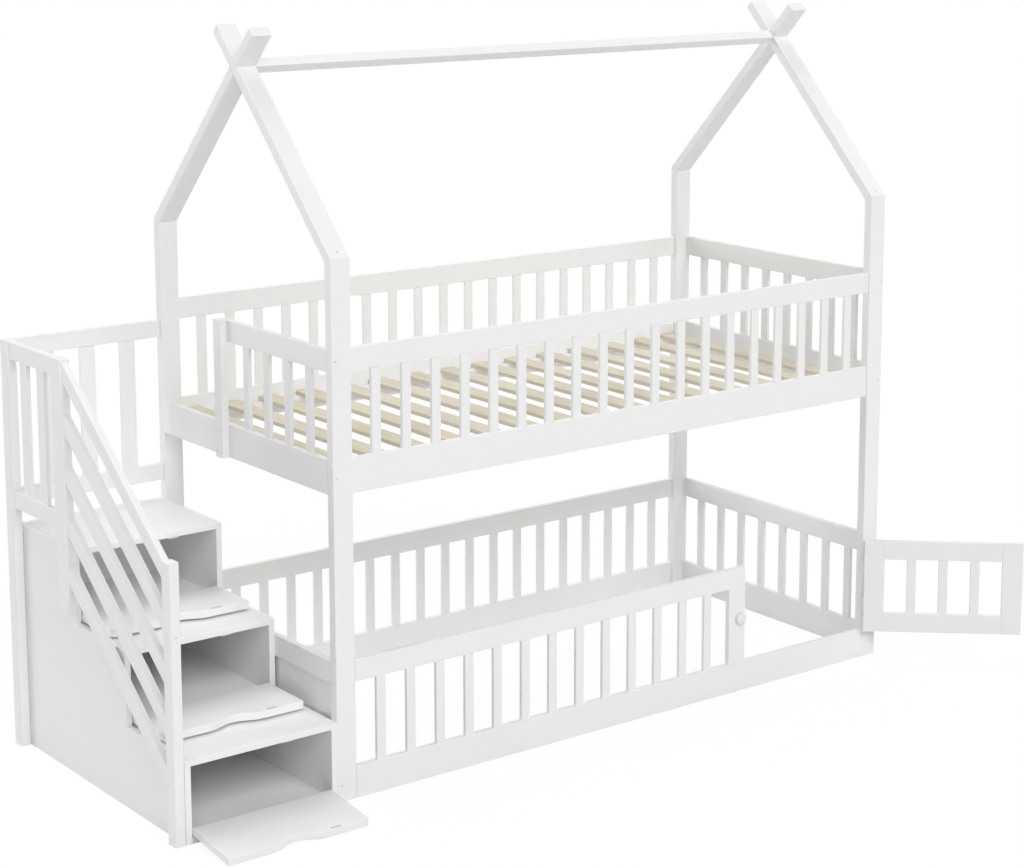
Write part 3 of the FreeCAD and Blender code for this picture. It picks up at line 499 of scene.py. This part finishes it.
# The floor
# A wide plain studio floor. The camera sees it near white with the bed's soft shadow on it, and other light
# meets a plain pale grey.


def seen_rays(tree):
    """A wire that is one for rays from the camera, from shiny surfaces and through clear ones, or nought."""
    camera_ray = Wire(tree).make("ShaderNodeLightPath", "Is Camera Ray", {})
    paths = camera_ray.socket.node.outputs
    return camera_ray + Wire(tree, paths["Is Glossy Ray"]) + Wire(tree, paths["Is Transmission Ray"])


def studio_floor(name):
    """A pale matt floor. Rays from the camera and from shiny surfaces see mostly an even white, so only a
    small share of the shade on it shows. The white is a little over one, which makes up for the share of
    grey."""
    white_share = 0.90
    white_strength = 1.03
    floor_colour = (0.80, 0.80, 0.80, 1)
    floor_roughness = 0.9
    material = bpy.data.materials.new(name)
    material.use_nodes = True
    tree = material.node_tree
    matt = tree.nodes["Principled BSDF"]
    matt.inputs["Base Color"].default_value = floor_colour
    matt.inputs["Roughness"].default_value = floor_roughness
    matt.inputs["Specular IOR Level"].default_value = 0.0
    grey = Wire(tree, matt.outputs[0])
    glow = grey.make("ShaderNodeEmission", 0, {"Color": (1, 1, 1, 1), "Strength": white_strength})
    both = grey.make("ShaderNodeMixShader", 0, {0: white_share * seen_rays(tree), 1: grey, 2: glow})
    tree.links.new(both.socket, tree.nodes["Material Output"].inputs["Surface"])
    return material


floor_reach = 30.0
corners = np.array([[-1, -1, 0], [1, -1, 0], [1, 1, 0], [-1, 1, 0]]) * floor_reach
floor_mesh = bpy.data.meshes.new("studio_floor")
floor_mesh.from_pydata(corners.tolist(), [], [(0, 1, 2, 3)])
floor_mesh.materials.append(studio_floor("studio_floor"))
floor = bpy.data.objects.new("studio_floor", floor_mesh)
bpy.context.scene.collection.objects.link(floor)

# The light
# A dim even room and six broad soft lamps round the bed, as in a white studio: two high in front, one
# overhead, and low ones in front, behind and to the right that reach the insides.

room_strength = 0.08
world = bpy.data.worlds.new("studio_room")
bpy.context.scene.world = world
world.use_nodes = True
room = world.node_tree.nodes["Background"]
room.inputs["Color"].default_value = (1, 1, 1, 1)
room_level = room_strength + (1 - room_strength) * seen_rays(world.node_tree)
world.node_tree.links.new(room_level.socket, room.inputs["Strength"])


def soft_lamp(name, azimuth, elevation, spread, strength):
    """A broad distant lamp. Azimuth is counted from +X towards +Y and elevation from the floor, to the lamp,
    and spread is its width in the sky, all in degrees. A strength of one lights a white face square to the
    lamp as much as a white room would."""
    lamp = bpy.data.lights.new(name, "SUN")
    lamp.energy = math.pi * strength
    lamp.angle = math.radians(spread)
    lamp_object = bpy.data.objects.new(name, lamp)
    lamp_object.rotation_euler = (math.radians(90 - elevation), 0, math.radians(azimuth + 90))
    bpy.context.scene.collection.objects.link(lamp_object)


soft_lamp("front_lamp", azimuth=270, elevation=37, spread=30, strength=0.34)
soft_lamp("low_front_lamp", azimuth=265, elevation=14, spread=40, strength=0.09)
soft_lamp("front_left_lamp", azimuth=240, elevation=34, spread=30, strength=0.22)
soft_lamp("top_lamp", azimuth=90, elevation=70, spread=40, strength=0.43)
soft_lamp("back_left_lamp", azimuth=135, elevation=10, spread=40, strength=0.40)
soft_lamp("right_lamp", azimuth=0, elevation=10, spread=40, strength=0.36)

# The camera
# Standing to the left of the bed's front, a little above the top of the roof, and looking slightly down, with
# the frame slid down as the photograph is.

look_down = 9.7958
roll = -0.0407
heading = -37.6598
camera = bpy.data.cameras.new("photo_camera")
camera.sensor_fit = "HORIZONTAL"
camera.sensor_width = 36
camera.lens = 82.643
camera.shift_x = -0.03189
camera.shift_y = -0.15027
camera.clip_end = 200
camera_object = bpy.data.objects.new("photo_camera", camera)
bpy.context.scene.collection.objects.link(camera_object)
camera_object.location = (-4.2834, -5.5579, 2.5449)
camera_object.rotation_euler = (math.radians(90 - look_down), math.radians(roll), math.radians(heading))
bpy.context.scene.camera = camera_object
bpy.context.scene.view_settings.view_transform = "Standard"
